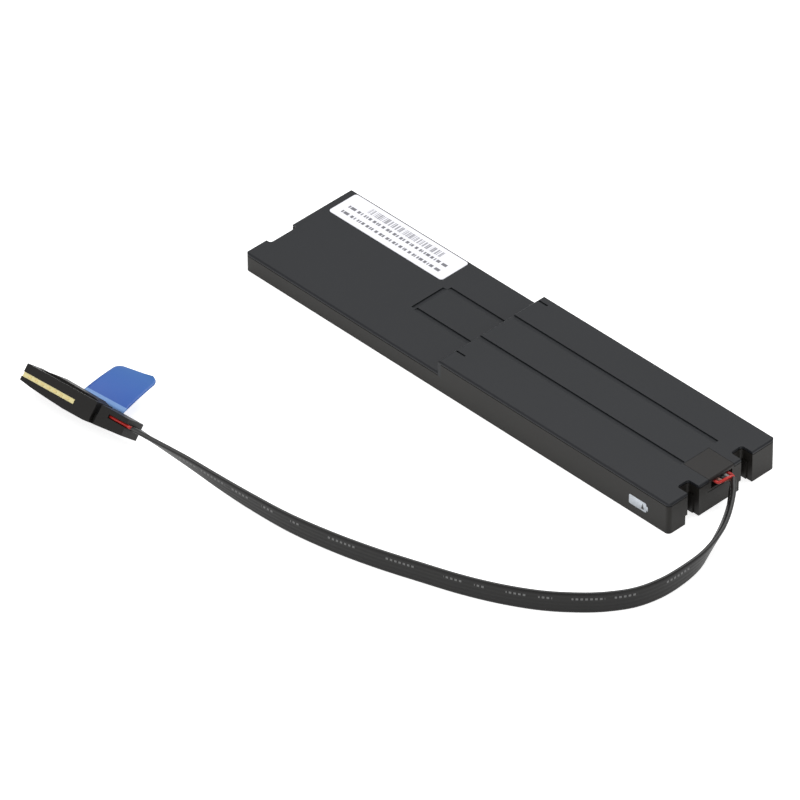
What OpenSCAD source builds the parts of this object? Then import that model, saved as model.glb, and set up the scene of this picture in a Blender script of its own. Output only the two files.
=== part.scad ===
// Backup battery module for a server's storage controller.
// A flat two-level plastic case holds two prismatic cells and a protection
// board. A flat sleeved cable leaves one end and lies in a loop on the floor
// to a small board-edge plug with a film pull tab.
// Millimetres. X runs along the case toward the cable end, Z is up, and the
// origin is at the middle of the case's underside.

/* [Case] */
// Length of the case
case_l = 168; // [160:1:176]
// Width of the case
case_w = 42; // [40:0.5:46]
// Height of the thick section, which holds the cells
thick_h = 10.5; // [9.5:0.1:12.5]
// Height of the thin section, which holds the circuit board
thin_h = 6.3; // [6:0.1:7.4]
// Length of the thin section
thin_l = 78; // [72:1:84]
// Thickness of the side walls
wall_t = 1.2; // [1:0.1:1.5]
// Thickness of the floor
floor_t = 1; // [0.8:0.1:1.2]
// Thickness of the cover sheet
cover_t = 1.1; // [0.9:0.1:1.3]
// Radius of the upright corners
corner_r = 1.3; // [0.8:0.1:2]
// Radius of the cover's outer top edges
edge_r = 0.6; // [0.3:0.05:0.8]
// Height of the dark seam between cover and case
seam_h = 0.25; // [0.15:0.05:0.4]
// Depth of that seam
seam_d = 0.3; // [0.15:0.05:0.5]

/* [Cover lip] */
// Thickness of the locating lip under the cover
lip_t = 0.7; // [0.5:0.1:0.8]
// Depth that the lip reaches into the case
lip_h = 0.7; // [0.4:0.1:0.9]
// Side clearance between lip and wall
lip_gap = 0.1; // [0.05:0.05:0.2]

/* [End notch and slots] */
// Width of the notch in the thin end
notch_w = 10.6; // [8:0.2:13]
// Depth of that notch
notch_d = 2; // [1.2:0.1:2.6]
// Distance of the notch's middle from the case's middle line
notch_off = 7.7; // [6:0.1:9]
// Width of the two retaining slots in the cable end
slot_w = 4.5; // [4.2:0.1:5]
// Depth of those slots
slot_d = 4.2; // [4.1:0.1:4.8]
// Distance of the front slot from the middle line
slot_front_off = 11.4; // [10.8:0.1:12]
// Distance of the back slot from the middle line
slot_back_off = 9.7; // [9.4:0.1:11]
// Radius of the inner corners of notch and slots
slot_r = 1; // [0.5:0.1:1.4]
// How far the slot's clip ledge stands out
ledge_t = 0.35; // [0.2:0.05:0.4]
// Height of that ledge above the underside
ledge_h = 6.2; // [4:0.2:7]
// Extra width at the foot of each slot
foot_w = 0.8; // [0.4:0.1:0.9]
// Height of that wider foot
foot_h = 3; // [2:0.2:4]

/* [Cover details] */
// Distance of the front channel line from the middle line
line_front_off = 4.6; // [4:0.1:6]
// Distance of the back channel line from the middle line
line_back_off = 8.7; // [8:0.1:10]
// Length of the channel lines on the thin section
line_thin_l = 25; // [15:1:30]
// Distance between the end of the lines and the cable end
line_end_gap = 10.1; // [9:0.1:14]
// Width of a channel line
line_w = 0.45; // [0.3:0.05:0.6]
// Depth of a channel line
line_d = 0.4; // [0.2:0.05:0.5]
// Width of the sloped strip beside a line
ramp_w = 1.4; // [0.8:0.1:2]
// Depth of that strip at the line
ramp_d = 0.22; // [0.1:0.02:0.3]
// Length of the slits behind the step
slit_l = 3.4; // [2:0.1:5]
// Width of those slits
slit_w = 0.6; // [0.4:0.1:1]
// Distance of the slits behind the step
slit_back = 2.3; // [2:0.1:4]
// Spread of the two slits across the case
slit_span = 32.5; // [26:0.5:34]
// Length of the label
label_l = 46; // [30:1:50]
// Width of the label
label_w = 11.1; // [8:0.1:12]
// Thickness of the label
label_t = 0.15; // [0.1:0.05:0.3]
// Margin between the label and the case's far end
label_end_gap = 2.8; // [2.7:0.1:6]
// Margin between the label and the case's back edge
label_back_gap = 0.8; // [0.8:0.1:3]

/* [Wire exit] */
// Length of the wire exit cover
exit_l = 9.8; // [8.5:0.1:11]
// Width of the wire exit cover
exit_w = 9.9; // [9.4:0.1:10.4]
// Thickness of the cheeks that carry the exit cover
cheek_t = 0.8; // [0.6:0.1:1]
// Height of the wire opening
exit_h = 2.4; // [2:0.1:3]
// Clearance round the exit cover
exit_gap = 0.1; // [0.05:0.05:0.2]

/* [Cells] */
// Gap between the cells and the side walls
cell_side_gap = 1.4; // [1.3:0.1:2]
// Thickness of the foam pads under the cells
pad_t = 0.4; // [0.3:0.1:0.8]
// Thickness of the foam spacer between the cells
spacer_t = 1; // [0.6:0.1:2]
// Room between the step and the first cell, for the rising wires
rise_gap = 4.2; // [3.8:0.1:6]
// Radius of the cell cans' corners
can_r = 1.6; // [1:0.1:2.4]
// Width of the nickel straps
strap_w = 5; // [3:0.5:7]
// Thickness of the nickel straps
strap_t = 0.2; // [0.1:0.05:0.3]

/* [Circuit board] */
// Thickness of the circuit board
board_t = 1; // [0.8:0.1:1.2]
// Height of the posts under the board
post_h = 0.8; // [0.6:0.1:1]
// Diameter of the board posts
post_dia = 3.4; // [3:0.1:4]
// Diameter of the locating pins on the posts
pin_dia = 1.6; // [1.2:0.1:2]
// Clearance round a locating pin
pin_gap = 0.15; // [0.1:0.05:0.2]
// Gap between the board and the case walls
board_gap = 0.5; // [0.3:0.1:0.8]
// Thickness of the insulating sheet under the cover
sheet_t = 0.2; // [0.1:0.05:0.3]

/* [Wires] */
// Diameter of one insulated wire
wire_dia = 0.9; // [0.7:0.05:0.95]
// Spacing of the wires in the row
wire_pitch = 1.3; // [1.26:0.02:1.36]

/* [Plug] */
// Length of the plug
plug_l = 38.4; // [36:0.2:42]
// Depth of the plug, from its mating face to its back
plug_depth = 8; // [7.4:0.1:9]
// Thickness of the plug at its middle
plug_t = 6.4; // [6:0.1:7.5]
// Length of the board's mating edge
mate_l = 19.6; // [16:0.2:22]
// Thickness of the contact board
contact_t = 1.4; // [1:0.1:1.6]
// Height of the contact board above the plug's lowest line
contact_z = 2.5; // [2.3:0.1:2.8]
// Length of the pull tab
tab_l = 15.4; // [10:0.2:20]
// Width of the pull tab
tab_w = 15.5; // [12:0.1:16]
// Thickness of the pull tab
tab_t = 0.3; // [0.2:0.05:0.4]
// Radius of the pull tab's corners
tab_r = 2.6; // [1:0.1:4]

/* [Hidden] */
$fn = 48;

over = 1;  // how far a cut runs past the face that it opens
snap = 0.05;

far_x = -case_l / 2;
end_x = case_l / 2;
step_x = far_x + thin_l;
thin_seam_z = thin_h - cover_t;
thick_seam_z = thick_h - cover_t;
slot_ys = [-slot_front_off, slot_back_off];

// Wire exit: the cover sits just to the front of the middle line.
exit_y = -0.25;
exit_x = end_x - exit_l;
exit_sill_z = thick_seam_z - exit_h;
exit_open_w = exit_w - 2 * cheek_t;

// Cells stand in one row between the step and the wire exit.
bay_x0 = step_x + cover_t + rise_gap;
cell_gap = 0.6;
bay_x1 = exit_x - cell_gap;
cell_l = (bay_x1 - bay_x0 - spacer_t) / 2;
cell_w = case_w - 2 * wall_t - 2 * cell_side_gap;
wire_room = 0.3;
cell_z = floor_t + pad_t;
cell_h = thick_seam_z - wire_dia - 2 * wire_room - cell_z;
cell_inset = 2;  // how far the pads stay inside the cells' edges

// Board and its parts
board_z = floor_t + post_h;
board_top = board_z + board_t;
board_x0 = far_x + notch_d + wall_t + board_gap;
board_x1 = step_x - 2;
board_w = case_w - 2 * (wall_t + board_gap);
post_inset = 4.5;
post_xs = [board_x0 + post_inset, board_x1 - post_inset];
post_ys = [-board_w / 2 + post_inset, board_w / 2 - post_inset];
strap_off = 12;   // distance of the power straps from the middle line
strap_lap = 3;    // overlap of a strap on the board
chip_h = 1;

// Wires run straight from the header to the exit, above the cells.
wire_count = 5;
wire_ys = [for (i = [0:wire_count - 1]) exit_y + (i - (wire_count - 1) / 2) * wire_pitch];
header_l = 4;
header_h = 1.8;
header_x1 = board_x1 - 4;
header_w = wire_count * wire_pitch + 1;
wire_low_z = board_top + header_h / 2;
wire_high_z = thick_seam_z - wire_room - wire_dia / 2;
exit_start_x = end_x - 0.4;  // where the inner wires end and the turning ones start

// Sleeve: [x, y, z, lean], the lean being the ribbon's turn from upright,
// outward of the loop. The sleeve stands on its edge along the loop.
sleeve_w = 6.8;
sleeve_t = 1.4;
sleeve_route = [
    [87, 0.9, 7, 8], [88.6, -0.9, 6.7, 10], [90.4, -3, 6.1, 14], [92.6, -6.4, 5.2, 19],
    [94.8, -10.4, 4.5, 24], [96.8, -14.8, 4, 26], [98.8, -20, 3.6, 20], [100.6, -26, 3.4, 10],
    [101.4, -33, 3.4, 3], [101.2, -41, 3.4, 0], [99.2, -49, 3.4, 0], [95, -56, 3.4, 0],
    [89.6, -62, 3.4, 0], [82, -68.4, 3.4, 0], [72.4, -74.2, 3.4, 0], [62, -79, 3.4, 0],
    [50.4, -83.2, 3.4, 0], [37.4, -87.6, 3.4, 0], [24, -91.2, 3.4, 1], [10, -93.8, 3.4, 4],
    [-4, -95, 3.5, 9], [-16, -95.8, 4, 16], [-27, -96.4, 4.7, 25], [-37, -97.4, 5.5, 36],
    [-46.4, -98.4, 6.2, 47]];
route_steps = 2;
section_sides = 12;

// Plug: it lies on the floor on its lower back edge, its mating face tilted up.
plug_tilt = 43;
plug_yaw = 4.35;
plug_x = -85.75;
plug_y = -107;
block_l = 26.6;      // length of the main block
neck_l = 1.8;        // length of the neck behind it
neck_d = 1.6;        // depth of the groove that makes the neck
lip_rise = 1.3;      // how far the lower lip rises toward the ends
tab_u = 14.8;        // distance of the pull tab from the plug's far end
tab_droop = 4;       // how far the pull tab hangs below level
wire_slot_u = 31.8;  // where the wires end inside the plug
plug_split_z = 3.2;  // height of the split behind the mating edge
plug_wire_z = 4.4;   // height of the wires in the plug
plug_wire_y = plug_depth / 2 - 0.4;  // middle of the wire row in the plug's depth
sleeve_gap = 1.3;    // bare wires between the plug and the sleeve
wire_gap = 0.1;      // clearance of the wires in the plug

// ---- shapes ----

// A rectangle with round corners, centred on the origin.
module rounded_rect(l, w, r) {
    square([l - 2 * r, w], center = true);
    square([l, w - 2 * r], center = true);
    for (sx = [-1, 1], sy = [-1, 1])
        translate([sx * (l / 2 - r), sy * (w / 2 - r)]) circle(r);
}

// The case in plan, with notch and slots, drawn in by inset all round.
module plan(inset = 0) {
    difference() {
        rounded_rect(case_l - 2 * inset, case_w - 2 * inset, max(corner_r - inset, 0.2));
        translate([far_x, -notch_off])
            rounded_rect(2 * (notch_d + inset), notch_w + 2 * inset, slot_r + inset);
        for (y = slot_ys) translate([end_x, y])
            rounded_rect(2 * (slot_d + inset), slot_w + 2 * inset, slot_r + inset);
    }
}

// A bar along the whole case whose two upper edges are rounded.
module bar(h) {
    translate([far_x - over, 0, 0]) rotate([90, 0, 90]) linear_extrude(case_l + 2 * over) {
        translate([-case_w / 2, 0]) square([case_w, h - edge_r]);
        translate([-case_w / 2 + edge_r, 0]) square([case_w - 2 * edge_r, h]);
        for (s = [-1, 1]) translate([s * (case_w / 2 - edge_r), h - edge_r]) circle(edge_r);
    }
}

// The stepped side of the case as an upright sheet, with rounded upper edges.
module side_sheet() {
    translate([0, case_w / 2 + over, 0]) rotate([90, 0, 0]) linear_extrude(case_w + 2 * over) {
        translate([far_x, 0]) square([case_l, thin_h - edge_r]);
        translate([far_x + edge_r, 0]) square([thin_l, thin_h]);
        translate([far_x + edge_r, thin_h - edge_r]) circle(edge_r);
        translate([step_x, 0]) square([case_l - thin_l, thick_h - edge_r]);
        translate([step_x + edge_r, 0]) square([case_l - thin_l - 2 * edge_r, thick_h]);
        for (x = [step_x + edge_r, end_x - edge_r])
            translate([x, thick_h - edge_r]) circle(edge_r);
    }
}

// The whole outer form of the closed case.
module envelope() {
    intersection() {
        linear_extrude(thick_h) plan();
        side_sheet();
        union() {
            bar(thin_h);
            intersection() {
                bar(thick_h);
                translate([step_x, -case_w, 0]) cube([case_l, 2 * case_w, thick_h]);
            }
        }
    }
}

// Everything below the cover sheet: low in the thin section, high in the thick one.
module below_cover() {
    big = case_w + 2 * over;
    translate([far_x - over, -big / 2, -over])
        cube([thin_l + cover_t + 2 * over, big, thin_seam_z + over]);
    translate([step_x + cover_t, -big / 2, -over])
        cube([case_l - thin_l, big, thick_seam_z + over]);
}

// The wide foot of the retaining slots, on the front wall of each.
module slot_feet() {
    for (y = slot_ys)
        translate([end_x - slot_d + slot_r, y - slot_w / 2 - foot_w, -over])
            cube([slot_d, foot_w + slot_r, foot_h + over]);
}

// The clip ledge on the back wall of each slot.
module slot_ledges() {
    for (y = slot_ys)
        translate([end_x - slot_d, y + slot_w / 2 - ledge_t, 0])
            cube([slot_d / 2, ledge_t + wall_t / 2, ledge_h]);
}

// A channel line with its sloped strip on the front side, along X.
module line_cut(l) {
    rotate([90, 0, 90]) linear_extrude(l)
        polygon([[-ramp_w, over], [-ramp_w, 0], [-line_w / 2, -ramp_d], [-line_w / 2, -line_d],
                 [line_w / 2, -line_d], [line_w / 2, over]]);
}

// Points of a smooth curve through route, steps of it between two neighbours.
function blend4(a, b, c, d, t) =
    0.5 * (2 * b + (c - a) * t + (2 * a - 5 * b + 4 * c - d) * t * t
           + (3 * b - a - 3 * c + d) * t * t * t);
function smooth(route, steps) = let (n = len(route) - 1) concat(
    [for (i = [0:n - 1], k = [0:steps - 1])
        blend4(route[max(i - 1, 0)], route[i], route[i + 1], route[min(i + 2, n)], k / steps)],
    [route[n]]);
function unit(v) = v / norm(v);
function place(p) = [p[0], p[1], p[2]];
function heading(path, i) =
    unit(place(path[min(i + 1, len(path) - 1)]) - place(path[max(i - 1, 0)]));

// A flat section, w high and t thick, carried along a path of [x, y, z, lean].
function flat_section(w, t, sides) = [for (k = [0:sides - 1])
    let (half = sides / 2, top = k < half, a = (k % half) * 180 / (half - 1))
    [(w - t) / 2 * (top ? 1 : -1) + t / 2 * sin(a) * (top ? 1 : -1),
     t / 2 * cos(a) * (top ? 1 : -1)]];
function round_section(d, sides) =
    [for (k = [0:sides - 1]) [sin(k * 360 / sides), cos(k * 360 / sides)] * d / 2];
module sweep(path, section) {
    n = len(path);
    m = len(section);
    points = [for (i = [0:n - 1])
        let (along = heading(path, i), out = unit(cross([0, 0, 1], along)) * -1,
             up = cross(out, along), lean = path[i][3],
             high = up * cos(lean) + out * sin(lean), side = cross(high, along))
        for (s = section) place(path[i]) + high * s[0] + side * s[1]];
    faces = concat(
        [[for (j = [0:m - 1]) j]],
        [[for (j = [m - 1:-1:0]) (n - 1) * m + j]],
        [for (i = [0:n - 2], j = [0:m - 1])
            let (k = (j + 1) % m)
            each [[i * m + j, (i + 1) * m + j, (i + 1) * m + k],
                  [i * m + j, (i + 1) * m + k, i * m + k]]]);
    polyhedron(points, faces, convexity = 4);
}

// One wire of the inner harness: level from the header, up past the step,
// level again over the cells to the wall of the exit.
module harness_wire(y) {
    rise_x = step_x + cover_t + rise_gap / 2;
    rise = wire_high_z - wire_low_z;
    bend = rise_gap / 2 - wire_dia / 2;
    route = [[header_x1, y, wire_low_z, 0], [rise_x - 2 * bend, y, wire_low_z, 0],
             [rise_x - bend, y, wire_low_z + rise * 0.08, 0],
             [rise_x - bend * 0.3, y, wire_low_z + rise * 0.35, 0],
             [rise_x + bend * 0.3, y, wire_low_z + rise * 0.65, 0],
             [rise_x + bend, y, wire_high_z - rise * 0.08, 0],
             [rise_x + 2.4 * bend, y, wire_high_z, 0], [exit_start_x, y, wire_high_z, 0]];
    sweep(route, round_section(wire_dia, 8));
}

// Puts a shape drawn in the plug's own frame where the plug lies. There X runs
// along the plug, the mating face is at y = 0 and the lowest line at z = 0.
module at_plug() {
    translate([plug_x, plug_y, plug_depth * sin(plug_tilt)])
        rotate([0, 0, plug_yaw]) rotate([-plug_tilt, 0, 0]) children();
}

// An outline given in X and Z, made deep along the plug from y0 to y1.
module plug_slab(y0, y1) {
    translate([0, y1, 0]) rotate([90, 0, 0]) linear_extrude(y1 - y0) children();
}

// ---- case ----

module bottom_case() color([0.16, 0.16, 0.16]) {
    difference() {
        union() {
            difference() {
                intersection() { envelope(); below_cover(); }
                translate([0, 0, floor_t]) linear_extrude(thick_h) plan(wall_t);
            }
            slot_ledges();
            intersection() {
                for (s = [-1, 1])
                    translate([exit_x, exit_y + s * (exit_w - cheek_t) / 2 - cheek_t / 2, 0])
                        cube([exit_l - wall_t / 2, cheek_t, thick_seam_z]);
                linear_extrude(thick_h) plan(wall_t / 2);
            }
            for (x = post_xs, y = post_ys) translate([x, y, 0]) {
                cylinder(d = post_dia, h = board_z);
                cylinder(d = pin_dia, h = board_top + pin_dia / 3);
            }
        }
        slot_feet();
        translate([end_x - wall_t - over, exit_y - exit_open_w / 2, exit_sill_z])
            cube([wall_t + 2 * over, exit_open_w, exit_h + over]);
        translate([end_x - line_w / 2, exit_y - exit_w / 2 - line_w, exit_sill_z - 2 * line_w])
            cube([line_w, exit_w, line_w / 2]);
    }
}

module top_cover() color([0.17, 0.175, 0.185]) {
    difference() {
        union() {
            difference() { envelope(); below_cover(); }
            intersection() {
                difference() {
                    linear_extrude(thick_h) plan(wall_t + lip_gap);
                    linear_extrude(thick_h) plan(wall_t + lip_gap + lip_t);
                }
                union() {
                    translate([far_x, -case_w / 2, thin_seam_z - lip_h])
                        cube([thin_l, case_w, lip_h + snap]);
                    translate([step_x + cover_t, -case_w / 2, thick_seam_z - lip_h])
                        cube([case_l, case_w, lip_h + snap]);
                }
            }
        }
        // seam all round, and the pocket of the exit cover
        difference() {
            union() {
                translate([far_x - over, -case_w, thin_seam_z])
                    cube([thin_l + over, 2 * case_w, seam_h]);
                translate([step_x + cover_t, -case_w, thick_seam_z])
                    cube([case_l, 2 * case_w, seam_h]);
            }
            linear_extrude(thick_h) plan(seam_d);
        }
        translate([exit_x - exit_gap, exit_y - exit_w / 2 - exit_gap, thick_seam_z - lip_h - over])
            cube([exit_l + exit_gap + over, exit_w + 2 * exit_gap, thick_h]);
        // channel lines on both levels
        for (y = [-line_front_off, line_back_off]) {
            translate([step_x - line_thin_l, y, thin_h]) line_cut(line_thin_l);
            translate([step_x - over, y, thick_h])
                line_cut(case_l - thin_l + over - line_end_gap);
        }
        translate([step_x - line_thin_l - ramp_w, line_back_off - ramp_w, thin_h])
            rotate([0, 0, -90]) mirror([0, 1, 0]) line_cut(line_front_off + line_back_off - ramp_w / 2);
        for (s = [-1, 1])
            translate([step_x + slit_back - slit_l / 2, (line_back_off - line_front_off) / 2
                       + s * slit_span / 2 - slit_w / 2, thick_h - line_d])
                cube([slit_l, slit_w, line_d + over]);
    }
}

module wire_exit_cover() color([0.2, 0.195, 0.19]) {
    intersection() {
        envelope();
        translate([exit_x, exit_y - exit_w / 2, thick_seam_z])
            cube([exit_l, exit_w, cover_t]);
    }
}

module id_label() color([0.93, 0.93, 0.95]) {
    translate([far_x + label_end_gap + label_l / 2,
               case_w / 2 - label_back_gap - label_w / 2, thin_h])
        linear_extrude(label_t) rounded_rect(label_l, label_w, 1);
}

// ---- cells ----

module cell(x0) {
    translate([x0 + cell_l / 2, 0, cell_z]) intersection() {
        translate([-cell_l / 2, 0, 0]) rotate([90, 0, 90]) linear_extrude(cell_l)
            translate([0, cell_h / 2]) rounded_rect(cell_w, cell_h, can_r);
        linear_extrude(cell_h) rounded_rect(cell_l, cell_w, can_r / 2);
    }
}

module cell_step_side() color([0.62, 0.64, 0.67]) cell(bay_x0);

module cell_cable_side() color([0.62, 0.64, 0.67]) cell(bay_x1 - cell_l);

module cell_pads() color([0.25, 0.25, 0.27])
    for (x0 = [bay_x0, bay_x1 - cell_l])
        translate([x0 + cell_inset, -cell_w / 2 + cell_inset, floor_t])
            cube([cell_l - 2 * cell_inset, cell_w - 2 * cell_inset, pad_t]);

module cell_spacer() color([0.12, 0.12, 0.13])
    translate([bay_x0 + cell_l, -cell_w / 2 + cell_inset, floor_t])
        cube([spacer_t, cell_w - 2 * cell_inset, cell_z + cell_h - can_r - floor_t]);

// Strap between the two cells, on their front sides.
module series_strap() color([0.75, 0.74, 0.7])
    translate([bay_x0 + cell_l + spacer_t / 2 - strap_w, -cell_w / 2 - strap_t,
               cell_z + can_r])
        cube([2 * strap_w, strap_t, cell_h - 2 * can_r]);

// Strap from the first cell's end face down to the board.
module power_strap(y) {
    translate([bay_x0 - strap_t, y - strap_w / 2, board_top])
        cube([strap_t, strap_w, cell_z + cell_h - can_r - board_top]);
    translate([board_x1 - strap_lap, y - strap_w / 2, board_top])
        cube([bay_x0 - board_x1 + strap_lap, strap_w, strap_t]);
}

module positive_strap() color([0.75, 0.74, 0.7]) power_strap(-strap_off);

module negative_strap() color([0.75, 0.74, 0.7]) power_strap(strap_off);

// ---- board ----

module circuit_board() color([0.05, 0.3, 0.16])
    difference() {
        translate([board_x0, -board_w / 2, board_z]) cube([board_x1 - board_x0, board_w, board_t]);
        for (x = post_xs, y = post_ys) translate([x, y, board_z - over])
            cylinder(d = pin_dia + 2 * pin_gap, h = board_t + 2 * over);
    }

module power_transistors() color([0.1, 0.1, 0.1])
    for (x = [0, 7.5], y = [-1, 1])
        translate([board_x1 - 20 + x - 5, y * strap_off - 3, board_top]) cube([5, 6, chip_h]);

module controller_chip() color([0.11, 0.11, 0.12])
    translate([board_x0 + 20, -3.5, board_top]) cube([7, 7, chip_h]);

module gauge_chip() color([0.11, 0.11, 0.12])
    translate([board_x0 + 40, -9, board_top]) cube([5, 6.4, chip_h]);

module ceramic_capacitors() color([0.55, 0.42, 0.28])
    for (i = [0:4], s = [-1, 1])
        translate([board_x0 + 14 + i * 5, s * 9 - 1.25, board_top]) cube([3.2, 2.5, 1.4]);

module power_inductor() color([0.22, 0.22, 0.23])
    translate([board_x0 + 10, 0, board_top]) {
        translate([-3.5, -3.5, 0]) cube([7, 7, 1.2]);
        cylinder(d = 6, h = 1.8);
    }

module sense_resistor() color([0.2, 0.2, 0.2])
    translate([board_x0 + 44, -1.6, board_top]) cube([6.4, 3.2, 0.8]);

module board_fuse() color([0.9, 0.9, 0.86])
    translate([board_x0 + 40, 6, board_top]) cube([6, 2.6, 1.3]);

module wire_header() color([0.85, 0.83, 0.76])
    translate([header_x1 - header_l, exit_y - header_w / 2, board_top])
        cube([header_l, header_w, header_h]);

module insulating_sheet() color([0.83, 0.78, 0.62])
    intersection() {
        translate([board_x0, -case_w / 2, thin_seam_z - sheet_t])
            cube([board_x1 - board_x0, case_w, sheet_t]);
        linear_extrude(thick_h) plan(wall_t + lip_gap + lip_t + board_gap);
    }

// ---- wires ----

module harness_red() color([0.8, 0.08, 0.06])
    for (i = [0, wire_count - 1]) harness_wire(wire_ys[i]);

module harness_black() color([0.08, 0.08, 0.08])
    for (i = [2, 3]) harness_wire(wire_ys[i]);

module harness_sense() color([0.55, 0.4, 0.34]) harness_wire(wire_ys[1]);

// A saddle between the cheeks that carries the wires in the exit.
module wire_anchor() color([0.1, 0.1, 0.1])
    translate([exit_x, exit_y - exit_open_w / 2, floor_t])
        cube([exit_l - wall_t, exit_open_w, wire_high_z - wire_dia / 2 - floor_t]);

// The bare ends of the wires, turning from a level row to an upright one while
// they bend from the wall's opening into the sleeve.
exit_steps = 8;
exit_pull = 1.6;  // how far the bend keeps its direction at each end
exit_hold = 0.2;  // share of the bend before the row starts to turn
module exit_wires() color([0.5, 0.1, 0.08]) {
    sleeve_path = smooth(sleeve_route, route_steps);
    into = heading(sleeve_path, 0);
    out = -unit(cross([0, 0, 1], into));
    lean = sleeve_route[0][3];
    high = cross(out, into) * cos(lean) + out * sin(lean);
    from = [exit_start_x + wire_dia / 4, exit_y, wire_high_z];
    to = place(sleeve_path[0]) - into * wire_dia / 4;
    for (i = [0:wire_count - 1]) {
        off = ((wire_count - 1) / 2 - i) * wire_pitch;
        path = concat([[exit_start_x, exit_y - off, wire_high_z, 0]],
            [for (k = [0:exit_steps])
                let (s = k / exit_steps, r = 1 - s, late = max(0, (s - exit_hold) / (1 - exit_hold)),
                     turn = 90 * late * late * (3 - 2 * late),
                     mid = r * r * r * from + 3 * r * r * s * (from + [exit_pull, 0, 0])
                           + 3 * r * s * s * (to - exit_pull * into) + s * s * s * to,
                     q = mid + off * (cos(turn) * [0, -1, 0] + sin(turn) * high))
                [q[0], q[1], q[2], 0]],
            [let (q = place(sleeve_path[0]) + off * high) [q[0], q[1], q[2], 0]]);
        sweep(path, round_section(wire_dia, 8));
    }
}

module cable_sleeve() color([0.2, 0.2, 0.19])
    sweep(smooth(sleeve_route, route_steps), flat_section(sleeve_w, sleeve_t, section_sides));

module plug_wires() color([0.55, 0.38, 0.34]) at_plug()
    for (i = [0:wire_count - 1])
        translate([wire_slot_u, plug_wire_y + (i - (wire_count - 1) / 2) * wire_pitch, plug_wire_z])
            rotate([0, 90, 0]) cylinder(d = wire_dia, h = plug_l + sleeve_gap - wire_slot_u);

// ---- plug ----

module plug_housing() color([0.14, 0.135, 0.13]) at_plug()
    difference() {
        plug_slab(0, plug_depth) {
            polygon([[0, lip_rise], [4, lip_rise * 0.62], [10, lip_rise * 0.3], [17, 0],
                     [block_l - 2, 0], [plug_l, lip_rise], [plug_l, plug_t],
                     [block_l + neck_l, plug_t], [block_l + neck_l, plug_split_z],
                     [mate_l, plug_split_z], [mate_l, contact_z], [0, contact_z]]);
        }
        translate([block_l, -over, -over]) cube([neck_l, neck_d + over, plug_t + 2 * over]);
        translate([wire_slot_u, -over, plug_wire_z - wire_dia / 2 - wire_gap])
            cube([plug_l, over + plug_wire_y + wire_count / 2 * wire_pitch, wire_dia + 2 * wire_gap]);
    }

module plug_cover() color([0.16, 0.155, 0.15]) at_plug() {
    plug_slab(0, plug_depth)
        polygon([[0, contact_z + contact_t], [mate_l, contact_z + contact_t],
                 [mate_l, plug_split_z], [block_l, plug_split_z], [block_l, plug_t], [0, plug_t]]);
    plug_slab(plug_depth * 0.3, plug_depth)
        polygon([[2, plug_t - snap], [block_l - 1, plug_t - snap], [block_l - 3, plug_t + 0.5],
                 [9, plug_t + 0.8]]);
}

module contact_board() color([0.86, 0.82, 0.55]) at_plug()
    translate([0.2, 0.1, contact_z]) cube([mate_l - 0.4, plug_depth - 1.5, contact_t]);

module contact_pads() color([0.85, 0.68, 0.3]) at_plug()
    for (i = [0:6])
        translate([2 + i * 2.4, -snap, contact_z + contact_t / 2 - 0.2]) cube([1.2, 0.15, 0.4]);

module pull_tab() color([0.2, 0.42, 0.75]) at_plug()
    translate([tab_u, plug_depth, plug_t - 1]) {
        translate([0, 0, -2]) cube([tab_w, tab_t, 3]);
        translate([0, tab_t, 0]) rotate([plug_tilt - tab_droop, 0, 0]) linear_extrude(tab_t) {
            square([tab_w, tab_l - tab_r]);
            translate([tab_r, 0]) square([tab_w - 2 * tab_r, tab_l]);
            for (u = [tab_r, tab_w - tab_r]) translate([u, tab_l - tab_r]) circle(tab_r);
        }
    }

bottom_case();
top_cover();
wire_exit_cover();
id_label();
cell_step_side();
cell_cable_side();
cell_pads();
cell_spacer();
series_strap();
positive_strap();
negative_strap();
circuit_board();
power_transistors();
controller_chip();
gauge_chip();
ceramic_capacitors();
power_inductor();
sense_resistor();
board_fuse();
wire_header();
harness_red();
harness_black();
harness_sense();
insulating_sheet();
wire_anchor();
exit_wires();
cable_sleeve();
plug_wires();
plug_housing();
plug_cover();
contact_board();
contact_pads();
pull_tab();
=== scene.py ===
from math import cos, radians, sin

import bpy
import numpy as np
from mathutils import Matrix, Vector


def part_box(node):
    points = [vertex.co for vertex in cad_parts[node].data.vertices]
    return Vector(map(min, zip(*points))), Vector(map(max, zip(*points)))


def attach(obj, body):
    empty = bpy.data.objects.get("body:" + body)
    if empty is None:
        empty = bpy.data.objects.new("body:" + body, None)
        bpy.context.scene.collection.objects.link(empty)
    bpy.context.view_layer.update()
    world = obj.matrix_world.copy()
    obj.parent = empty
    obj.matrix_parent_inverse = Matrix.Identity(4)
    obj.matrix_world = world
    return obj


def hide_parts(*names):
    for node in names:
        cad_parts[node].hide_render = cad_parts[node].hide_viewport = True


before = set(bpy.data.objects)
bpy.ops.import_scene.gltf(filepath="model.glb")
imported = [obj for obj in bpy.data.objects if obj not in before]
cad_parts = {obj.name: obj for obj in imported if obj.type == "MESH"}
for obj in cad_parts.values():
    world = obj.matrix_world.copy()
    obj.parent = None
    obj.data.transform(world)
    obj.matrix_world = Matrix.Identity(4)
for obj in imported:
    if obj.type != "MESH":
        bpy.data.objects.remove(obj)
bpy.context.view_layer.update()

mm = 0.001

# ---- Camera ----
# A long lens looks down at the cable end and the front side of the case, from
# far enough away that the parallel edges stay nearly parallel.
view_turn, view_rise, view_roll = radians(45.91), radians(38.48), radians(-0.42)
view_aim = Vector((-10.29, -31.63, 0)) * mm
view_distance = 2433.5 * mm

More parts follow.
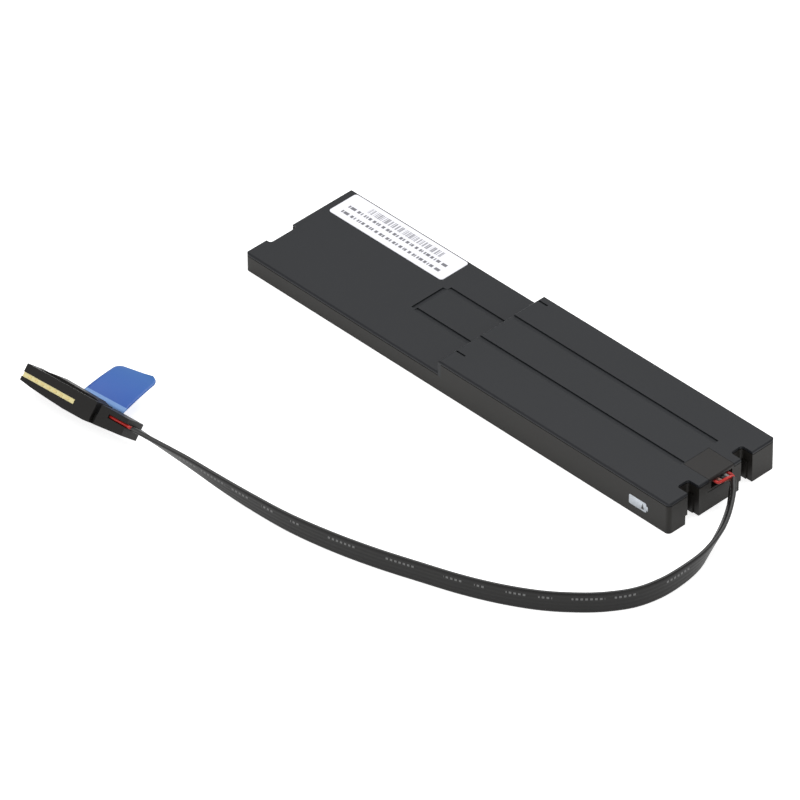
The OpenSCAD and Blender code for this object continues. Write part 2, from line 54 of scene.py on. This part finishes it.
view_back = Vector((sin(view_turn) * cos(view_rise), -cos(view_turn) * cos(view_rise), sin(view_rise)))
level_right = Vector((0, 0, 1)).cross(view_back).normalized()
level_up = view_back.cross(level_right)
view_right = level_right * cos(view_roll) + level_up * sin(view_roll)
view_up = level_up * cos(view_roll) - level_right * sin(view_roll)
camera = bpy.data.objects.new("camera", bpy.data.cameras.new("camera"))
camera.data.sensor_width = 36
camera.data.lens = 392.2
camera.data.clip_end = 10
camera.matrix_world = (Matrix.Translation(view_aim + view_back * view_distance)
                       @ Matrix((view_right, view_up, view_back)).transposed().to_4x4())
bpy.context.scene.collection.objects.link(camera)
bpy.context.scene.camera = camera

# ---- Cable sleeve ----
# A black extruded sleeve, flattened over a row of five wires. It leaves the
# exit upright, stands on its edge round the loop and leans back to the plug.
sleeve_w, sleeve_t = 6.8 * mm, 1.4 * mm
sleeve_ridge = 0.02 * mm     # how far each wire shows through the sleeve's faces
wire_count = 5
wire_d, wire_pitch = 0.9 * mm, 1.3 * mm
# [x, y, z, lean in degrees] of the sleeve's middle line, from the exit to the plug
sleeve_route = np.array([
    (.0870, .0009, .0070, 8), (.0886, -.0009, .0067, 10), (.0904, -.0030, .0061, 14),
    (.0926, -.0064, .0052, 19), (.0948, -.0104, .0045, 24), (.0968, -.0148, .0040, 26),
    (.0988, -.0200, .0036, 20), (.1006, -.0260, .0034, 10), (.1014, -.0330, .0034, 3),
    (.1012, -.0410, .0034, 0), (.0992, -.0490, .0034, 0), (.0950, -.0560, .0034, 0),
    (.0896, -.0620, .0034, 0), (.0820, -.0684, .0034, 0), (.0724, -.0742, .0034, 0),
    (.0620, -.0790, .0034, 0), (.0504, -.0832, .0034, 0), (.0374, -.0876, .0034, 0),
    (.0240, -.0912, .0034, 1), (.0100, -.0938, .0034, 4), (-.0040, -.0950, .0035, 9),
    (-.0160, -.0958, .0040, 16), (-.0270, -.0964, .0047, 25), (-.0370, -.0974, .0055, 36),
    (-.0464, -.0984, .0062, 47)])


def unit(rows):
    """Each row divided by its own length."""
    return rows / np.linalg.norm(rows, axis=-1, keepdims=True)


def smooth(stations, steps):
    """Catmull-Rom curve: each span is the cubic that passes two stations and is
    parallel there to the chord between their neighbours."""
    padded = np.vstack([stations[:1], stations, stations[-1:]])
    a, b, c, d = (padded[k:len(padded) - 3 + k, None] for k in range(4))
    t = np.linspace(0, 1, steps, endpoint=False)[None, :, None]
    spans = 0.5 * (2 * b + (c - a) * t + (2 * a - 5 * b + 4 * c - d) * t ** 2
                   + (3 * b - a - 3 * c + d) * t ** 3)
    return np.vstack([spans.reshape(-1, stations.shape[1]), stations[-1:]])


def ribbon_axes(path, lean):
    """Along, high and side of a ribbon at each point of its path: high is the
    upright turned outward by the lean, and side is square to both others."""
    along = unit(np.gradient(path, axis=0))
    out = unit(np.stack([-along[:, 1], along[:, 0], 0 * along[:, 0]], 1))
    high = np.cross(along, out) * np.cos(lean)[:, None] + out * np.sin(lean)[:, None]
    return along, high, np.cross(high, along)


def add_piece(name, points, faces, uvs):
    """A mesh object whose place is in its mesh, with one UV pair a face corner."""
    mesh = bpy.data.meshes.new(name)
    mesh.from_pydata(points, [], faces)
    if uvs is not None:
        mesh.uv_layers.new(name="UVMap").data.foreach_set("uv", np.ravel(uvs))
    mesh.polygons.foreach_set("use_smooth", [True] * len(faces))
    piece = bpy.data.objects.new(name, mesh)
    bpy.context.scene.collection.objects.link(piece)
    return piece


def tube(name, rings):
    """Closed skin over rings of points, an array of ring by point by xyz. U is
    the way travelled along the first points and V the share of the way round."""
    count, sides = rings.shape[:2]
    i, j = np.meshgrid(np.arange(count - 1), np.arange(sides), indexing="ij")
    ring, side = (np.stack(corners, -1).reshape(-1, 4)
                  for corners in ((i, i, i + 1, i + 1), (j, j + 1, j + 1, j)))
    faces = (ring * sides + side % sides).tolist()
    caps = [list(range(sides))[::-1], [(count - 1) * sides + k for k in range(sides)]]
    centres = rings.mean(1)
    way = np.concatenate([[0], np.cumsum(np.linalg.norm(np.diff(centres, axis=0), axis=1))])
    uvs = np.stack([way[ring], side / sides], -1).reshape(-1, 2)
    cap_uvs = np.zeros((2 * sides, 2))
    return add_piece(name, rings.reshape(-1, 3), faces + caps, np.vstack([uvs, cap_uvs]))


route = smooth(sleeve_route, 8)
sleeve_path = route[:, :3]
sleeve_lean = np.radians(route[:, 3])
sleeve_along, sleeve_high, sleeve_side = ribbon_axes(sleeve_path, sleeve_lean)
turn = np.linspace(0, 2 * np.pi, 96, endpoint=False)
across = np.cos(turn)
# The section is as high as the sleeve is wide. Its thickness falls off only
# close to the two edges, and swells a little over each wire.
swell = sleeve_ridge * np.cos(2 * np.pi * across * sleeve_w / 2 / wire_pitch) * (1 - across ** 6)
section_high = across * sleeve_w / 2
section_side = (np.sign(np.sin(turn)) * (sleeve_t / 2 - sleeve_ridge + swell)
                * (1 - across ** 10) ** 0.5)
sleeve_rings = (sleeve_path[:, None] + sleeve_high[:, None] * section_high[None, :, None]
                + sleeve_side[:, None] * section_side[None, :, None])
sleeve = tube("sleeve_tube", sleeve_rings)
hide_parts("cable_sleeve")
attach(sleeve, "root")


class Value:
    """A socket of a finish's nodes. An expression on values adds Math nodes."""

    def __init__(self, finish, socket):
        self.finish, self.socket = finish, socket

    def math(self, operation, *terms):
        return self.finish.add("Math", {"operation": operation}, dict(enumerate(terms)))

    def __add__(self, other):
        return self.math("ADD", self, other)

    def __sub__(self, other):
        return self.math("SUBTRACT", self, other)

    def __rsub__(self, other):
        return self.math("SUBTRACT", other, self)

    def __mul__(self, other):
        return self.math("MULTIPLY", self, other)

    def __truediv__(self, other):
        return self.math("DIVIDE", self, other)

    def __lt__(self, other):
        return self.math("LESS_THAN", self, other)

    def __gt__(self, other):
        return self.math("GREATER_THAN", self, other)

    def __abs__(self):
        return self.math("ABSOLUTE", self)

    __radd__, __rmul__ = __add__, __mul__


class Finish:
    """A material under construction, with its shader."""

    def __init__(self, name, **constants):
        self.material = bpy.data.materials.new(name)
        self.material.use_nodes = True
        self.nodes, self.links = self.material.node_tree.nodes, self.material.node_tree.links
        self.nodes.clear()
        self.shader = self.add("BsdfPrincipled", {}, constants)
        self.add("OutputMaterial", {}, {"Surface": self.shader})

    def add(self, kind, settings, sockets, out=0):
        """A node of that kind: its settings first, a ramp's stops among them,
        then its sockets' values or links. Gives back one of its outputs."""
        node = self.nodes.new("ShaderNode" + kind)
        for key, value in settings.items():
            if key == "stops":
                for place, colour in value[2:]:
                    node.color_ramp.elements.new(place)
                for element, (place, colour) in zip(node.color_ramp.elements, sorted(value)):
                    element.position, element.color = place, colour
            else:
                setattr(node, key, value)
        for key, value in sockets.items():
            if isinstance(value, Value):
                self.links.new(value.socket, node.inputs[key])
            else:
                node.inputs[key].default_value = value
        return Value(self, node.outputs[out]) if node.outputs else None

    def set(self, **links):
        for key, value in links.items():
            self.links.new(value.socket, self.shader.socket.node.inputs[key.replace("_", " ")])

    def mix(self, factor, a, b):
        """Colour b over colour a by the factor."""
        return self.add("Mix", {"data_type": "RGBA"}, {0: factor, 6: a, 7: b}, out=2)

    def uv(self):
        """U in metres along a cord, V as the share of the way round it."""
        split = {"Vector": self.add("UVMap", {"uv_map": "UVMap"}, {})}
        return self.add("SeparateXYZ", {}, split), self.add("SeparateXYZ", {}, split, out=1)

    def place(self):
        return self.add("TexCoord", {}, {}, out=3)

    def xyz(self):
        place = {"Vector": self.place()}
        return [self.add("SeparateXYZ", {}, place, out=k) for k in range(3)]

    def noise(self, size, detail=3):
        """Noise from 0 to 1 whose lumps are about the size across."""
        return self.add("TexNoise", {}, {"Vector": self.place(), "Scale": 1 / size, "Detail": detail})

    def bump(self, height, depth):
        """Relief of that depth where the height goes from 0 to 1."""
        self.set(Normal=self.add("Bump", {}, {"Height": height, "Distance": depth}))


def screen(red, green, blue):
    """Linear colour of a screen colour from 0 to 255."""
    levels = np.array([red, green, blue]) / 255
    return (*np.where(levels > 0.04045, ((levels + 0.055) / 1.055) ** 2.4, levels / 12.92), 1)


# The black plastics are matt: their faces reflect half as much as polished ones.
matt = {"Specular IOR Level": 0.25}

# The sleeve's print is reduced to small plain dashes in the upper third, and a thin painted highlight runs
# along its top edge.
finish = Finish("sleeve_black", Roughness=0.45, **matt)
way, round_share = finish.uv()
dash_pitch, dash_part, word_l = 1.3 * mm, 0.55, 9 * mm
# Shares of the way round the section, counted from its top edge.
dash_place, dash_half_h, highlight_half = 0.17, 0.018, 0.03
beat = finish.add("Math", {"operation": "FRACT"}, {0: way / dash_pitch})
word = finish.add("TexNoise", {"noise_dimensions": "1D"}, {"W": way / word_l, "Scale": 1, "Detail": 0})
band = ((abs(round_share - dash_place) < dash_half_h)
        + (abs(round_share - (1 - dash_place)) < dash_half_h))
dash = (beat < dash_part) * (word > 0.5) * band
# Painted highlight: a thin lighter band along the sleeve's top edge, where the top light would catch it.
painted_edge_highlight = (round_share < highlight_half) + (round_share > 1 - highlight_half)
grain = finish.noise(0.7 * mm)
face = finish.mix(grain, screen(20, 20, 20), screen(28, 27, 26))
bare_face = finish.mix(painted_edge_highlight, face, screen(66, 66, 66))
finish.set(Base_Color=finish.mix(dash, bare_face, screen(104, 104, 104)))
finish.bump(grain, 0.02 * mm)
sleeve.data.materials.append(finish.material)

# ---- Bare wires ----
# Five insulated wires in a level row leave the case, turn upright while they
# bend into the sleeve, and show again between the sleeve and the plug.
wire_colours = {"red": (196, 38, 30), "tan": (150, 110, 98), "black": (28, 28, 29),
                "grey": (150, 148, 146), "deep_red": (176, 30, 26)}
bend_pull, bend_hold = 1.6 * mm, 0.2
exit_y = sum(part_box("wire_exit_cover"), Vector()).y / 2
harness_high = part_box("harness_red")[1]
bend_from = np.array([harness_high.x + wire_d / 4, exit_y, harness_high.z - wire_d / 2])
sleeve_start = sleeve_path[0] - sleeve_along[0] * wire_d / 4
share = np.linspace(0, 1, 33)[:, None]
bend = ((1 - share) ** 3 * bend_from + 3 * (1 - share) ** 2 * share * (bend_from + [bend_pull, 0, 0])
        + 3 * (1 - share) * share ** 2 * (sleeve_start - bend_pull * sleeve_along[0])
        + share ** 3 * sleeve_start)
late = np.clip((share - bend_hold) / (1 - bend_hold), 0, 1)
row_turn = np.pi / 2 * late ** 2 * (3 - 2 * late)
row = np.cos(row_turn) * [0, -1, 0] + np.sin(row_turn) * sleeve_high[0]


def wire(name, path, colour):
    """Round tube along the path, its rings square to it."""
    along, high, side = ribbon_axes(path, np.zeros(len(path)))
    around = np.linspace(0, 2 * np.pi, 16, endpoint=False)[None, :, None]
    spokes = high[:, None] * np.cos(around) + side[:, None] * np.sin(around)
    rings = path[:, None] + wire_d / 2 * spokes
    piece = tube(name, rings)
    insulation = Finish(name, Roughness=0.34)
    level = insulation.noise(0.8 * mm)
    tone = wire_colours[colour]
    insulation.set(Base_Color=insulation.mix(level, screen(*tone), screen(*(0.85 * k for k in tone))))
    insulation.bump(level, 0.015 * mm)
    piece.data.materials.append(insulation.material)
    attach(piece, "root")
    return piece


plug_tilt, plug_yaw = radians(43), radians(4.35)
plug_l, plug_depth = 38.4 * mm, 8 * mm
plug_corner = Vector((-85.75, -107, 0)) * mm + Vector((0, 0, plug_depth * sin(plug_tilt)))
plug_frame = (Matrix.Translation(plug_corner) @ Matrix.Rotation(plug_yaw, 4, "Z")
              @ Matrix.Rotation(-plug_tilt, 4, "X"))
plug_wire_from, plug_wire_z = 31.8 * mm, 4.4 * mm
plug_wire_y = plug_depth / 2 - 0.4 * mm
sleeve_gap = 1.3 * mm


def at_plug(points):
    """Points given in the plug's own frame, in metres of the shared frame."""
    turn_part = np.array(plug_frame.to_3x3())
    return np.asarray(points) @ turn_part.T + np.array(plug_frame.translation)


cable_wires = []
for k, colour in enumerate(wire_colours):
    offset = ((wire_count - 1) / 2 - k) * wire_pitch
    bare = wire(f"exit_wire_{colour}", bend + offset * row, colour)
    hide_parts("exit_wires")
    y = plug_wire_y - offset
    ends = [(u, y, plug_wire_z) for u in np.linspace(plug_wire_from, plug_l + sleeve_gap, 8)]
    end = wire(f"plug_wire_{colour}", at_plug(ends), colour)
    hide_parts("plug_wires")
    cable_wires += [bare, end]

# ---- Pull tab ----
# A strip of blue polyester film, folded out from under the plug's cover, by
# which the plug is drawn off its board edge.
tab_u, tab_l, tab_w, tab_t, tab_r = 14.8 * mm, 15.4 * mm, 15.5 * mm, 0.3 * mm, 2.6 * mm
tab_fold = np.array([tab_u, plug_depth + tab_t, 6.3 * mm])
tab_rise = radians(6)        # mean angle of the film above level
tab_twist = radians(4)       # how much more it rises at its cable side, and less at the other
tab_bow = 0.35 * mm          # how far the film arches between fold and end
run = tab_l * np.sin(np.linspace(0, np.pi / 2, 28))
wide = np.linspace(-1, 1, 25)
into_corner = np.clip(run - (tab_l - tab_r), 0, tab_r)
half = tab_w / 2 - tab_r + np.sqrt(tab_r ** 2 - into_corner ** 2)
u = tab_w / 2 + half[:, None] * wide
arch = tab_bow * np.sin(np.pi * run / tab_l)[:, None] + 0 * wide
tab_out = plug_tilt + tab_rise + tab_twist * wide
film = np.stack([u, run[:, None] * np.cos(tab_out) - arch * np.sin(tab_out),
                 run[:, None] * np.sin(tab_out) + arch * np.cos(tab_out)], -1) + tab_fold


def sheet_piece(name, grid):
    """Open sheet over a grid of points, with U and V as its shares."""
    rows, columns = grid.shape[:2]
    i, j = np.meshgrid(np.arange(rows - 1), np.arange(columns - 1), indexing="ij")
    r, c = (np.stack(corners, -1).reshape(-1, 4)
            for corners in ((i, i, i + 1, i + 1), (j, j + 1, j + 1, j)))
    uvs = np.stack([r / (rows - 1), c / (columns - 1)], -1).reshape(-1, 2)
    return add_piece(name, grid.reshape(-1, 3), (r * columns + c).tolist(), uvs)


tab = sheet_piece("tab_film_strip", at_plug(film))
thickness = tab.modifiers.new("thickness", "SOLIDIFY")
thickness.thickness = tab_t
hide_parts("pull_tab")
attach(tab, "root")
finish = Finish("blue_film", Roughness=0.3)
reach, spread = finish.uv()
# Painted shade: the film is darker at the fold and lighter towards its free end.
film_painted_shade = finish.mix(reach, screen(30, 82, 170), screen(58, 108, 172))
# Painted highlight: a lighter band on the first part of the film past the fold, where the fold catches the
# light.
finish.set(Base_Color=finish.mix(reach < 0.08, film_painted_shade, screen(112, 152, 208)))
finish.bump(finish.noise(3 * mm), 0.03 * mm)
tab.data.materials.append(finish.material)

# ---- Plug ----
# A board-edge socket block of black glass-filled nylon: a housing, a cover
# snapped on it, and a laminate strip with gold pads in the mating face.


def dress(node, finish):
    """Puts the finish on a node of the frame."""
    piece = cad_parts[node]
    piece.data.materials.clear()
    piece.data.materials.append(finish.material)


def moulded(name, dark, light, roughness, grain_size=0.5 * mm, relief=0.012 * mm):
    """Black moulded plastic with a fine eroded texture and faint flow marks."""
    finish = Finish(name, **matt)
    grain = finish.noise(grain_size, 4)
    flow = finish.noise(26 * mm, 2)
    finish.set(Base_Color=finish.mix(grain * 0.5 + flow * 0.5, screen(*dark), screen(*light)),
               Roughness=roughness - 0.05 + 0.1 * grain)
    finish.bump(grain, relief)
    return finish


plug_nylon = moulded("plug_nylon", (17, 16, 15), (29, 27, 25), 0.5)
dress("plug_housing", plug_nylon)
dress("plug_cover", plug_nylon)

finish = Finish("laminate_edge", Roughness=0.55)
weave = finish.noise(0.35 * mm)
finish.set(Base_Color=finish.mix(weave, screen(214, 202, 142), screen(228, 218, 164)))
finish.bump(weave, 0.01 * mm)
dress("contact_board", finish)

finish = Finish("gold_pads", Metallic=1.0)
wipe = finish.noise(0.2 * mm)
finish.set(Base_Color=finish.mix(wipe, screen(222, 200, 138), screen(234, 216, 160)),
           Roughness=0.35 + 0.15 * wipe)
dress("contact_pads", finish)

# ---- Case ----
# The tray, the stepped cover and the small plate over the wires are moulded
# in black flame-retardant plastic. The cover is ultrasonically welded on.
dress("bottom_case", moulded("case_black", (24, 23, 20), (32, 30, 27), 0.5))
# Painted reflection: the cover's finish is tinted blue-grey for the overhead softbox mirrored in its top,
# while the tray's finish is warmer, though both are the same black plastic.
dress("top_cover", moulded("cover_black", (24, 26, 29), (31, 33, 37), 0.46))
dress("wire_exit_cover", moulded("exit_cover_black", (28, 26, 25), (36, 34, 33), 0.48))

# ---- Label ----
# A white polyester label on the thin section. Its print stays generic: one
# field of upright bars, and two rows of dashes in place of words.
case_low, case_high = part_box("bottom_case")
label_low, label_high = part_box("id_label")
label_l, label_w = label_high.x - label_low.x, label_high.y - label_low.y
finish = Finish("label_print", Roughness=0.4)
x, y, z = finish.xyz()
along_label = (x - label_low.x) / label_l
across_label = (y - label_low.y) / label_w
bar_noise = finish.add("TexNoise", {"noise_dimensions": "1D"}, {"W": x / (0.55 * mm), "Scale": 1, "Detail": 1})
bars_mid, bars_half_l, bars_place, bars_half_w = 0.506, 0.321, 0.75, 0.11
rows_mid, rows_half_l, row_places, row_half_w = 0.49, 0.44, (0.24, 0.5), 0.05
bars = ((bar_noise > 0.5) * (abs(along_label - bars_mid) < bars_half_l)
        * (abs(across_label - bars_place) < bars_half_w))
dash_noise = finish.add("TexNoise", {"noise_dimensions": "1D"}, {"W": x / (0.9 * mm), "Scale": 1, "Detail": 0})
rows = sum(abs(across_label - place) < row_half_w for place in row_places)
dashes = (dash_noise > 0.47) * rows * (abs(along_label - rows_mid) < rows_half_l)
paper = finish.mix(bars, screen(238, 238, 244), screen(150, 150, 156))
finish.set(Base_Color=finish.mix(dashes, paper, screen(112, 112, 118)))
finish.bump(finish.noise(2 * mm), 0.01 * mm)
dress("id_label", finish)

# ---- Charge pictogram ----
# A small white battery sign, pad-printed on the front side near the cable end.
sign_end_gap, sign_l, sign_h, sign_low = 8 * mm, 7.2 * mm, 3.2 * mm, 2.8 * mm
sign_r, ink_t = 0.45 * mm, 0.03 * mm
nub_l, nub_h = 0.6 * mm, 1.5 * mm
sign_right = case_high.x - sign_end_gap
body_right = sign_right - nub_l
body_left = sign_right - sign_l


def corner_arc(x, z, start):
    """Quarter turn of the sign's corner radius about a point."""
    angles = np.radians(start) + np.linspace(0, np.pi / 2, 6)
    return [(x + sign_r * cos(a), z + sign_r * sin(a)) for a in angles]


sign_top = sign_low + sign_h
middle = sign_low + sign_h / 2
mark_w, mark_h = 1.1 * mm, 2 * mm
mark_x = body_right - 1.4 * mm
outline = (corner_arc(body_left + sign_r, sign_low + sign_r, 180)
           + corner_arc(body_right - sign_r, sign_low + sign_r, 270)
           + [(body_right, middle - nub_h / 2), (sign_right, middle - nub_h / 2),
              (sign_right, middle + nub_h / 2), (body_right, middle + nub_h / 2)]
           + corner_arc(body_right - sign_r, sign_top - sign_r, 0)
           + corner_arc(body_left + sign_r, sign_top - sign_r, 90))
points = [(x, case_low.y - ink_t, z) for x, z in outline]
sign = add_piece("charge_sign", points, [list(range(len(points)))], None)
layer = sign.modifiers.new("layer", "SOLIDIFY")
layer.thickness = ink_t
layer.offset = -1
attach(sign, "root")
finish = Finish("white_ink", Roughness=0.5)
speck = finish.noise(0.25 * mm)
x, y, z = finish.xyz()
below_tip = (middle + mark_h / 2) - z
wedge = (abs(x - mark_x) < below_tip * (mark_w / mark_h / 2)) * (below_tip < mark_h)
finish.set(Base_Color=finish.mix(wedge, finish.mix(speck, screen(208, 216, 225), screen(222, 228, 235)),
                                 screen(32, 32, 33)))
sign.data.materials.append(finish.material)

# ---- Cells, straps and board ----
# Everything that the closed case hides: two aluminium cans on foam, nickel
# straps, and the protection board with its parts, wires and fibre sheet.


def plain(name, dark, light, roughness, grain_size, relief, metallic=0.0):
    """Even finish that varies between two tones with a fine grain."""
    finish = Finish(name, Metallic=metallic)
    grain = finish.noise(grain_size)
    finish.set(Base_Color=finish.mix(grain, screen(*dark), screen(*light)),
               Roughness=roughness - 0.04 + 0.08 * grain)
    finish.bump(grain, relief)
    return finish


can = plain("drawn_aluminium", (168, 170, 174), (190, 192, 196), 0.32, 1.2 * mm, 0.004 * mm, 1.0)
foam = plain("black_foam", (38, 38, 40), (58, 58, 60), 0.9, 0.4 * mm, 0.08 * mm)
nickel = plain("nickel_strip", (176, 172, 160), (198, 194, 182), 0.3, 0.6 * mm, 0.004 * mm, 1.0)
solder_mask = plain("solder_mask", (18, 72, 42), (26, 88, 52), 0.35, 1.5 * mm, 0.01 * mm)
resin = plain("chip_resin", (28, 28, 29), (40, 40, 41), 0.5, 0.2 * mm, 0.01 * mm)
ceramic = plain("tan_ceramic", (140, 108, 74), (158, 124, 88), 0.45, 0.3 * mm, 0.006 * mm)
ferrite = plain("ferrite", (50, 50, 52), (66, 66, 68), 0.6, 0.25 * mm, 0.02 * mm)
fuse_body = plain("fuse_ceramic", (222, 220, 210), (234, 232, 224), 0.4, 0.4 * mm, 0.006 * mm)
nylon = plain("natural_nylon", (214, 206, 184), (226, 220, 200), 0.45, 0.7 * mm, 0.01 * mm)
fibre = plain("fish_paper", (206, 192, 150), (220, 208, 168), 0.7, 0.9 * mm, 0.02 * mm)
red_wire = plain("red_insulation", (170, 28, 22), (190, 36, 30), 0.35, 0.8 * mm, 0.01 * mm)
black_wire = plain("black_insulation", (26, 26, 27), (34, 34, 35), 0.35, 0.8 * mm, 0.01 * mm)
tan_wire = plain("tan_insulation", (134, 98, 86), (152, 112, 98), 0.35, 0.8 * mm, 0.01 * mm)
for node, finish in {
        "cell_step_side": can, "cell_cable_side": can, "cell_pads": foam, "cell_spacer": foam,
        "series_strap": nickel, "positive_strap": nickel, "negative_strap": nickel,
        "circuit_board": solder_mask, "power_transistors": resin, "controller_chip": resin,
        "gauge_chip": resin, "ceramic_capacitors": ceramic, "power_inductor": ferrite,
        "sense_resistor": resin, "board_fuse": fuse_body, "wire_header": nylon,
        "insulating_sheet": fibre, "wire_anchor": plug_nylon, "harness_red": red_wire,
        "harness_black": black_wire, "harness_sense": tan_wire}.items():
    dress(node, finish)

# ---- Floor and light ----
# A white floor, a white surround and large soft lamps. The floor looks pure white to the eye and in
# reflections, at plain light; the surround is plain white at a little over half strength.
floor_half = 3.0
floor_white, floor_lift = 0.8, 0.7
corners = [(-floor_half, -floor_half, 0), (floor_half, -floor_half, 0),
           (floor_half, floor_half, 0), (-floor_half, floor_half, 0)]
floor_mesh = bpy.data.meshes.new("studio_floor")
floor_mesh.from_pydata(corners, [], [(0, 1, 2, 3)])
floor = bpy.data.objects.new("studio_floor", floor_mesh)
bpy.context.scene.collection.objects.link(floor)
finish = Finish("floor_white", Roughness=1.0)
floor_inputs = finish.shader.socket.node.inputs
floor_inputs["Base Color"].default_value = (floor_white,) * 3 + (1,)
floor_inputs["Specular IOR Level"].default_value = 0
floor_inputs["Emission Color"].default_value = (1, 1, 1, 1)
seen = [finish.add("LightPath", {}, {}, out=name) for name in
        ("Is Camera Ray", "Is Glossy Ray", "Is Transmission Ray")]
finish.links.new((floor_lift * (seen[0] + seen[1] + seen[2])).socket, floor_inputs["Emission Strength"])
floor.data.materials.append(finish.material)

world = bpy.data.worlds.new("surround")
bpy.context.scene.world = world
world.use_nodes = True
background = world.node_tree.nodes["Background"]
background.inputs["Color"].default_value = (1, 1, 1, 1)
background.inputs["Strength"].default_value = 0.55


def softbox(name, place, size, watts):
    """Square area lamp that faces the middle of the case."""
    lamp = bpy.data.objects.new(name, bpy.data.lights.new(name, "AREA"))
    lamp.data.size = size
    lamp.data.energy = watts
    lamp.location = place
    lamp.rotation_mode = "QUATERNION"
    lamp.rotation_quaternion = Vector(place).to_track_quat("Z", "Y")
    bpy.context.scene.collection.objects.link(lamp)
    return lamp


lamps = [softbox("overhead_softbox", (-0.3, 0.5, 1.3), 1.2, 12),
         softbox("front_softbox", (-0.2, -1.4, 0.8), 1.0, 6),
         softbox("end_softbox", (1.4, -0.3, 0.7), 1.0, 5)]
bpy.context.scene.view_settings.view_transform = "Standard"
